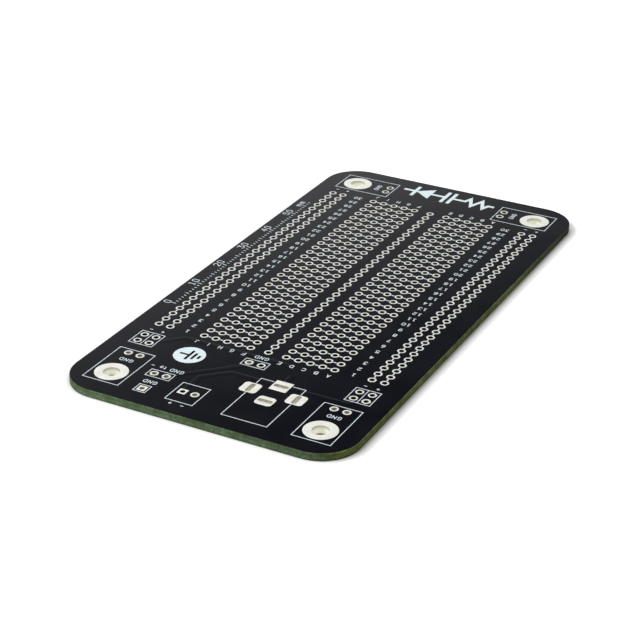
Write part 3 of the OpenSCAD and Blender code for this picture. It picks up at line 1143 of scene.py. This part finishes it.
# Pen strokes of each sign, on a field four units wide and six high
sign_w, sign_h = 4, 6
signs = {
    "0": [[(1, 0), (3, 0), (4, 1), (4, 5), (3, 6), (1, 6), (0, 5), (0, 1), (1, 0)]],
    "1": [[(0.6, 4.9), (2, 6), (2, 0)], [(0.6, 0), (3.4, 0)]],
    "2": [[(0, 5), (1, 6), (3, 6), (4, 5), (4, 3.9), (0, 0), (4, 0)]],
    "3": [[(0, 6), (4, 6), (1.8, 3.6), (3, 3.6), (4, 2.7), (4, 1), (3, 0), (1, 0), (0, 0.9)]],
    "4": [[(3, 0), (3, 6), (0, 1.9), (4, 1.9)]],
    "5": [[(3.8, 6), (0.5, 6), (0.2, 3.4), (1, 3.9), (3, 3.9), (4, 2.9), (4, 1), (3, 0), (1, 0),
           (0, 0.9)]],
    "6": [[(3.6, 6), (2, 6), (0.7, 5), (0, 3), (0, 1), (1, 0), (3, 0), (4, 1), (4, 2.4), (3, 3.4),
           (1, 3.4), (0, 2.5)]],
    "7": [[(0, 6), (4, 6), (1.5, 0)]],
    "8": [[(1, 3.3), (0.2, 4.2), (0.2, 5.1), (1, 6), (3, 6), (3.8, 5.1), (3.8, 4.2), (3, 3.3),
           (1, 3.3), (0, 2.3), (0, 1), (1, 0), (3, 0), (4, 1), (4, 2.3), (3, 3.3)]],
    "9": [[(0.4, 0), (2, 0), (3.3, 1), (4, 3), (4, 5), (3, 6), (1, 6), (0, 5), (0, 3.6), (1, 2.6),
           (3, 2.6), (4, 3.5)]],
    "A": [[(0, 0), (2, 6), (4, 0)], [(0.7, 2), (3.3, 2)]],
    "B": [[(0, 0), (0, 6), (2.8, 6), (3.7, 5.2), (3.7, 4), (2.8, 3.2), (0, 3.2)],
          [(2.8, 3.2), (4, 2.3), (4, 0.9), (3, 0), (0, 0)]],
    "C": [[(4, 1), (3, 0), (1.3, 0), (0, 1.4), (0, 4.6), (1.3, 6), (3, 6), (4, 5)]],
    "D": [[(0, 0), (0, 6), (2.3, 6), (4, 4.5), (4, 1.5), (2.3, 0), (0, 0)]],
    "E": [[(4, 0), (0, 0), (0, 6), (4, 6)], [(0, 3.1), (3, 3.1)]],
    "F": [[(0, 0), (0, 6), (4, 6)], [(0, 3.1), (3, 3.1)]],
    "G": [[(3.8, 5.2), (3, 6), (1.3, 6), (0, 4.6), (0, 1.4), (1.3, 0), (3, 0), (4, 0.8), (4, 2.8),
           (2.4, 2.8)]],
    "H": [[(0, 0), (0, 6)], [(4, 0), (4, 6)], [(0, 3.1), (4, 3.1)]],
    "I": [[(2, 0), (2, 6)]],
    "J": [[(0.4, 0.8), (1.2, 0), (2.2, 0), (3, 0.9), (3, 6)]],
    "N": [[(0, 0), (0, 6), (4, 0), (4, 6)]],
    "m": [[(0, 0), (0, 4)], [(0, 3.2), (0.8, 4), (1.4, 4), (2, 3.2), (2, 0)],
          [(2, 3.2), (2.8, 4), (3.4, 4), (4, 3.2), (4, 0)]],
    "o": [[(0.8, 0), (2, 0), (2.8, 0.9), (2.8, 3.1), (2, 4), (0.8, 4), (0, 3.1), (0, 0.9), (0.8, 0)]],
    "t": [[(0.8, 5.4), (0.8, 0.8), (1.4, 0), (1.9, 0)], [(0, 3.9), (1.9, 3.9)]],
    "+": [[(0.2, 3), (3.8, 3)], [(2, 1.2), (2, 4.8)]],
    "-": [[(0.2, 3), (3.8, 3)]],
}


def pen_shape(strokes, pen_r):
    """Flat triangles that the strokes of a round pen cover, without overlaps."""
    cap_points = 5
    points, outlines = [], []
    for stroke in strokes:
        for a, b in zip(stroke, stroke[1:]):
            a, b = Vector(a), Vector(b)
            heading = math.atan2(b.y - a.y, b.x - a.x)
            outline = []
            for end, start in ((a, 90), (b, -90)):
                for k in range(cap_points):
                    turn = heading + math.radians(start + 180 * k / (cap_points - 1))
                    points.append(end + pen_r * Vector((math.cos(turn), math.sin(turn))))
                    outline.append(len(points) - 1)
            outlines.append(outline)
    weld = 1e-4
    spots, _, faces, _, _, sources = delaunay_2d_cdt(points, [], outlines, 0, weld, True)
    return spots, [face for face, held in zip(faces, sources) if held]


def press(mesh, spots, faces, put):
    """A flat shape becomes a closed plate of ink at its place."""
    upper, lower = {}, {}
    sides = {}
    for face in faces:
        ring = list(face)
        # Each face is made to run clockwise, which points the plate's faces inwards
        if sum((spots[a].x - spots[b].x) * (spots[a].y + spots[b].y)
               for a, b in zip(ring, ring[1:] + ring[:1])) > 0:
            ring.reverse()
        for i in ring:
            if i not in upper:
                at = put(spots[i])
                upper[i] = mesh.verts.new((at[0] * MM, at[1] * MM, ink_top * MM))
                lower[i] = mesh.verts.new((at[0] * MM, at[1] * MM, ink_foot * MM))
        mesh.faces.new([upper[i] for i in ring])
        mesh.faces.new([lower[i] for i in reversed(ring)])
        for a, b in zip(ring, ring[1:] + ring[:1]):
            if (b, a) in sides:
                del sides[(b, a)]
            else:
                sides[(a, b)] = True
    # What is left are the edges with a face on one side only
    for a, b in sides:
        mesh.faces.new((upper[b], upper[a], lower[a], lower[b]))


# Shapes of signs that are already worked out, by sign and letter height
shapes = {}


def print_words(mesh, words, middle, cap_h, turned=True):
    """Words centred on a place, read along +X, or along +Y when they are turned."""
    unit = cap_h / sign_h
    spans = []
    for sign in words:
        reach = [x for stroke in signs[sign] for x, _ in stroke]
        spans.append((0, sign_w) if sign.isdigit() else (min(reach), max(reach)))
    along = -(sum(high - low + sign_gap for low, high in spans) - sign_gap) / 2
    for sign, (low, high) in zip(words, spans):
        key = (sign, cap_h)
        if key not in shapes:
            shapes[key] = pen_shape(signs[sign], pen_w / 2 / unit)

        def put(spot):
            u, v = (along - low + spot.x) * unit, (spot.y - sign_h / 2) * unit
            return (middle[0] - v, middle[1] + u) if turned else (middle[0] + u, middle[1] + v)

        press(mesh, *shapes[key], put)
        along += high - low + sign_gap


cap_h = 0.94
number_y = 7 * pitch
row_label_x = (-33.15, 45.6)
# Ground marks, the words beside the link header and the terminal's signs, with their places
# and whether they are turned
printed_words = [
    ("GND", (-45.78, -21.65), True), ("GND", (50.9, -16.5), False),
    ("GND", (-45.78, 21.65), True), ("GND", (50.9, 16.5), False),
    ("GND", (left_label_x, 0), True), ("GND", (-50.7, 13.3), True),
    ("GND", (-45.05, 11.1), True), ("to", (-45.05, 14.1), True), ("-", (-45.05, 16.25), True),
    ("+", (-55.38, 6.2), True), ("-", (-55.38, 3.75), True),
]
rail_signs = [("-", rail_y[1]), ("+", rail_y[0]), ("-", -rail_y[0]), ("+", -rail_y[1])]
row_letters = list(zip("ABCDEFGHIJ", [-y for y in reversed(strip_y)] + strip_y))
lettering = bmesh.new()
for k, x in enumerate(column_x):
    for s in (-1, 1):
        print_words(lettering, str(k + 1), (x, s * number_y), cap_h)
for x in row_label_x:
    for sign, y in row_letters + rail_signs:
        print_words(lettering, sign, (x, y), cap_h)
for words, middle, turned in printed_words:
    print_words(lettering, words, middle, cap_h, turned)

# A plain millimetre rule stands along the rear edge
rule_start, rule_y = -21.5, 25.9
rule_length = 57
rule_cap_h = 1.4
rule_number_y = 27.8
unit_place = (rule_start + 55.5, 27.7)
for tens in range(0, rule_length, 10):
    print_words(lettering, str(tens), (rule_start + tens, rule_number_y), rule_cap_h, turned=False)
print_words(lettering, "mm", unit_place, rule_cap_h, turned=False)
lettering_mesh = finished_mesh("printed_lettering", lettering, white_ink)
printed_lettering = new_piece("printed_lettering", lettering_mesh)
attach(printed_lettering, "root")

# Its ticks stand one millimetre apart, and each fifth and tenth tick is taller
rule_growth, given = new_growth(
    "rule_ticks",
    {
        "Short tick": "NodeSocketFloat",
        "Fifth tick": "NodeSocketFloat",
        "Tenth tick": "NodeSocketFloat",
        "Line width": "NodeSocketFloat",
        "Ink": "NodeSocketFloat",
    },
)
order = add_node(rule_growth, "GeometryNodeInputIndex")
by_five = add_node(
    rule_growth, "ShaderNodeMath", {0: order.outputs[0], 1: 5.0}, operation="MODULO"
)
by_ten = add_node(
    rule_growth, "ShaderNodeMath", {0: order.outputs[0], 1: 10.0}, operation="MODULO"
)
is_fifth = add_node(
    rule_growth, "FunctionNodeCompare", {0: by_five.outputs[0], 1: 0.5}, operation="LESS_THAN"
)
is_tenth = add_node(
    rule_growth, "FunctionNodeCompare", {0: by_ten.outputs[0], 1: 0.5}, operation="LESS_THAN"
)
fifth = add_node(
    rule_growth,
    "GeometryNodeSwitch",
    {0: is_fifth.outputs[0], 1: given.outputs["Short tick"], 2: given.outputs["Fifth tick"]},
    input_type="FLOAT",
)
tall = add_node(
    rule_growth,
    "GeometryNodeSwitch",
    {0: is_tenth.outputs[0], 1: fifth.outputs[0], 2: given.outputs["Tenth tick"]},
    input_type="FLOAT",
)
tick_size = add_node(
    rule_growth,
    "ShaderNodeCombineXYZ",
    {0: given.outputs["Line width"], 1: tall.outputs[0], 2: given.outputs["Ink"]},
)
tick = add_node(rule_growth, "GeometryNodeMeshCube", {"Size": (1.0, 1.0, 1.0)})
tick_base = add_node(
    rule_growth,
    "GeometryNodeTransform",
    {"Geometry": tick.outputs[0], "Translation": (0.0, 0.5, 0.0)},
)
ticks = add_node(
    rule_growth,
    "GeometryNodeInstanceOnPoints",
    {
        "Points": given.outputs["Geometry"],
        "Instance": tick_base.outputs[0],
        "Scale": tick_size.outputs[0],
    },
)
end_growth(rule_growth, ticks.outputs[0], white_ink, rounded=False)
short_tick, fifth_tick, tenth_tick = 0.55, 0.8, 1.0
rule_mesh = grow(
    "rule_ticks",
    [(rule_start + k, rule_y, (ink_top + ink_foot) / 2) for k in range(rule_length + 1)],
    [],
    rule_growth,
    {
        "Short tick": short_tick * MM,
        "Fifth tick": fifth_tick * MM,
        "Tenth tick": tenth_tick * MM,
        "Line width": pen_w * MM,
        "Ink": (ink_top - ink_foot) * MM,
    },
)
rule_ticks = new_piece("rule_ticks", rule_mesh)
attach(rule_ticks, "root")

low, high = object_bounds()
